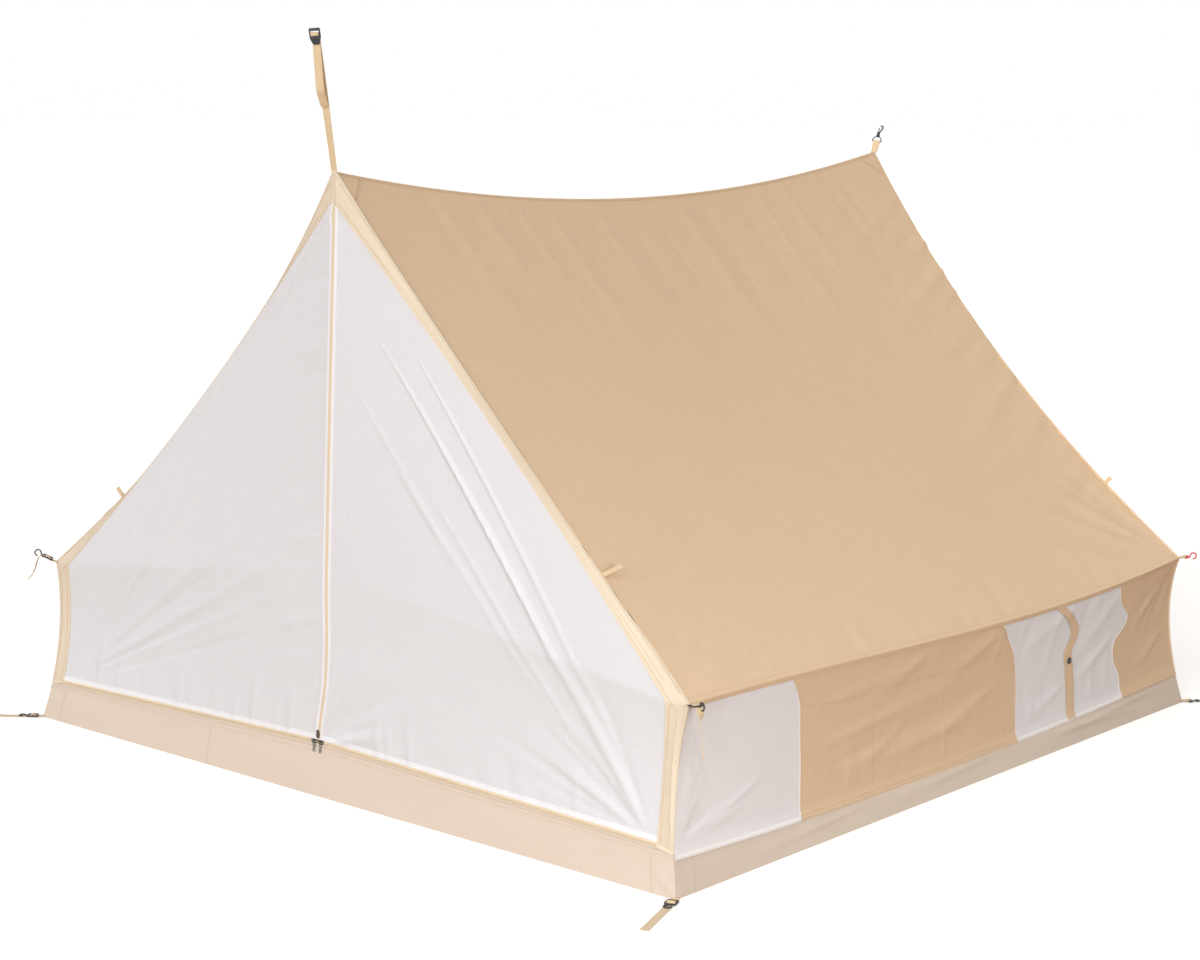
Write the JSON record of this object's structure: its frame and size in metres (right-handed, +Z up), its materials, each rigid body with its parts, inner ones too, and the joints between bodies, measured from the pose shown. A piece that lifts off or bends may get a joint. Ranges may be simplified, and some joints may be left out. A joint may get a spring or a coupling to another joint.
{
  "type": "cabin tent",
  "caption": "Cotton inner tent cabin with a sagging ridge roof, low side walls, bathtub floor, zipped mesh door, webbing ties and a hanging strap.",
  "frame": {"origin": "middle of the floor's underside, on the ground", "axes": "+Z up, -Y out through the door, +X to the right of someone facing the door from outside; the ridge runs along Y"},
  "size_m": [2.385, 2.5691, 1.8563],
  "materials": {
    "cotton": "matte woven cotton",
    "binding_cotton": "matte woven cotton",
    "mesh": "fine insect mesh",
    "tub_polyester": "coated polyester",
    "webbing": "ribbed webbing",
    "zip_coil": "nylon coil",
    "black_plastic": "moulded acetal",
    "red_plastic": "moulded acetal",
    "slider_metal": "dark plated die casting",
    "pull_metal": "dark plated die casting"
  },
  "bodies": {
    "cabin": {"front_left_roof_tape": "webbing", "front_right_roof_tape": "webbing", "left_door_side_mesh": "mesh", "left_front_binding": "binding_cotton", "left_pockets": "cotton", "left_roof": "cotton", "left_wall_cotton": "cotton", "left_wall_front_mesh": "mesh", "left_wall_rear_cotton": "cotton", "left_wall_window_mesh": "mesh", "left_window_snap": "black_plastic", "left_window_tape": "webbing", "rear_left_roof_tape": "webbing", "rear_ridge_tab": "webbing", "rear_right_roof_tape": "webbing", "rear_wall": "cotton", "right_door_side_mesh": "mesh", "right_front_binding": "binding_cotton", "right_pockets": "cotton", "right_roof": "cotton", "right_wall_cotton": "cotton", "right_wall_front_mesh": "mesh", "right_wall_rear_cotton": "cotton", "right_wall_window_mesh": "mesh", "right_window_snap": "black_plastic", "right_window_tape": "webbing", "sill_zip_coil": "zip_coil", "tub_floor": "tub_polyester"},
    "left_door": {"left_door_flap": "mesh", "left_zip_coil": "zip_coil"},
    "right_door": {"right_door_flap": "mesh", "right_zip_coil": "zip_coil"},
    "centre_zip_slider": {"centre_slider": "slider_metal"},
    "left_zip_slider": {"left_slider": "slider_metal"},
    "right_zip_slider": {"right_slider": "slider_metal"},
    "centre_zip_pull": {"centre_pull": "pull_metal"},
    "left_zip_pull": {"left_pull": "pull_metal"},
    "right_zip_pull": {"right_pull": "pull_metal"},
    "front_left_eave_tie": {"front_left_eave_strap": "webbing", "front_left_eave_hook": "black_plastic"},
    "front_right_eave_tie": {"front_right_eave_strap": "webbing", "front_right_eave_hook": "black_plastic"},
    "rear_left_eave_tie": {"rear_left_eave_strap": "webbing", "rear_left_eave_hook": "red_plastic"},
    "rear_right_eave_tie": {"rear_right_eave_strap": "webbing", "rear_right_eave_hook": "red_plastic"},
    "front_left_base_tie": {"front_left_base_strap": "webbing", "front_left_base_hook": "black_plastic"},
    "front_right_base_tie": {"front_right_base_strap": "webbing", "front_right_base_hook": "black_plastic"},
    "rear_left_base_tie": {"rear_left_base_strap": "webbing", "rear_left_base_hook": "black_plastic"},
    "rear_right_base_tie": {"rear_right_base_strap": "webbing", "rear_right_base_hook": "black_plastic"},
    "ridge_hanger": {"ridge_strap": "webbing"},
    "ridge_buckle": {"ridge_lock": "black_plastic", "ridge_strap_tail": "webbing"},
    "hook_eye": {"snap_eye": "black_plastic"},
    "hook_body": {"snap_hook": "black_plastic"},
    "hook_gate": {"snap_gate": "black_plastic"}
  },
  "joints": [
    {"name": "left_door_fold", "type": "hinge", "parent": "cabin", "child": "left_door", "pos_m": [-0.03, -1.12912, 1.372], "axis": [-0.5916, -0.0113, -0.8062], "range_deg": [0, 110]},
    {"name": "right_door_fold", "type": "hinge", "parent": "cabin", "child": "right_door", "pos_m": [0.03, -1.12912, 1.372], "axis": [-0.5915, 0.0113, 0.8062], "range_deg": [0, 110]},
    {"name": "centre_slider_run", "type": "slide", "parent": "cabin", "child": "centre_zip_slider", "axis": [0.0291, 0.014, 0.9995], "range_m": [0, 1.236]},
    {"name": "left_slider_run", "type": "slide", "parent": "cabin", "child": "left_zip_slider", "axis": [-0.9996, -0.0004, -0.0265], "range_m": [0, 0.936]},
    {"name": "right_slider_run", "type": "slide", "parent": "cabin", "child": "right_zip_slider", "axis": [0.9997, -0.0003, -0.0247], "range_m": [0, 1.012]},
    {"name": "centre_pull_swing", "type": "hinge", "parent": "centre_zip_slider", "child": "centre_zip_pull", "pos_m": [-0.03745, -1.14115, 0.15168], "axis": [1, 0, 0], "range_deg": [0, 150]},
    {"name": "left_pull_swing", "type": "hinge", "parent": "left_zip_slider", "child": "left_zip_pull", "pos_m": [-0.049, -1.15161, 0.13278], "axis": [-1, 0, 0], "range_deg": [0, 150]},
    {"name": "right_pull_swing", "type": "hinge", "parent": "right_zip_slider", "child": "right_zip_pull", "pos_m": [-0.027, -1.15161, 0.1328], "axis": [-1, 0, 0], "range_deg": [0, 150]},
    {"name": "front_left_eave_tie_swing", "type": "hinge", "parent": "cabin", "child": "front_left_eave_tie", "pos_m": [-1.088, -1.117, 0.427], "axis": [-0.6428, 0.766, 0], "range_deg": [-20, 70]},
    {"name": "front_right_eave_tie_swing", "type": "hinge", "parent": "cabin", "child": "front_right_eave_tie", "pos_m": [1.088, -1.117, 0.427], "axis": [-0.3746, -0.9272, 0], "range_deg": [-20, 70]},
    {"name": "rear_left_eave_tie_swing", "type": "hinge", "parent": "cabin", "child": "rear_left_eave_tie", "pos_m": [-1.088, 1.117, 0.427], "axis": [0.7071, 0.7071, 0], "range_deg": [-70, 60]},
    {"name": "rear_right_eave_tie_swing", "type": "hinge", "parent": "cabin", "child": "rear_right_eave_tie", "pos_m": [1.088, 1.117, 0.427], "axis": [0.7071, -0.7071, 0], "range_deg": [-70, 60]},
    {"name": "front_left_base_tie_swing", "type": "hinge", "parent": "cabin", "child": "front_left_base_tie", "pos_m": [-1.1, -1.165, 0.0044], "axis": [-0.6428, 0.766, 0], "range_deg": [0, 85]},
    {"name": "front_right_base_tie_swing", "type": "hinge", "parent": "cabin", "child": "front_right_base_tie", "pos_m": [1.1, -1.165, 0.0044], "axis": [-0.9397, -0.342, 0], "range_deg": [0, 85]},
    {"name": "rear_left_base_tie_swing", "type": "hinge", "parent": "cabin", "child": "rear_left_base_tie", "pos_m": [-1.1, 1.165, 0.0044], "axis": [0.7071, 0.7071, 0], "range_deg": [0, 85]},
    {"name": "rear_right_base_tie_swing", "type": "hinge", "parent": "cabin", "child": "rear_right_base_tie", "pos_m": [1.1, 1.165, 0.0044], "axis": [0.7071, -0.7071, 0], "range_deg": [0, 85]},
    {"name": "ridge_hanger_swing", "type": "hinge", "parent": "cabin", "child": "ridge_hanger", "pos_m": [0, -1.127, 1.523], "axis": [1, 0, 0], "range_deg": [-75, 120]},
    {"name": "ridge_lock_run", "type": "slide", "parent": "ridge_hanger", "child": "ridge_buckle", "axis": [0, 0, -1], "range_m": [0, 0.12], "deforming": ["ridge_strap"]},
    {"name": "snap_eye_swing", "type": "hinge", "parent": "cabin", "child": "hook_eye", "pos_m": [0, 1.13936, 1.5536], "axis": [0.9397, 0.3171, -0.1281], "range_deg": [-75, 75]},
    {"name": "snap_swivel", "type": "hinge", "parent": "hook_eye", "child": "hook_body", "pos_m": [0, 1.1461, 1.57029], "axis": [0, 0.3746, 0.9272], "continuous": true},
    {"name": "snap_gate_swing", "type": "hinge", "parent": "hook_body", "child": "hook_gate", "pos_m": [-0.00238, 1.15077, 1.58415], "axis": [-0.342, 0.8713, -0.352], "range_deg": [0, 25], "stiffness_Nm_per_rad": 0.02, "springref_deg": -20.05}
  ]
}
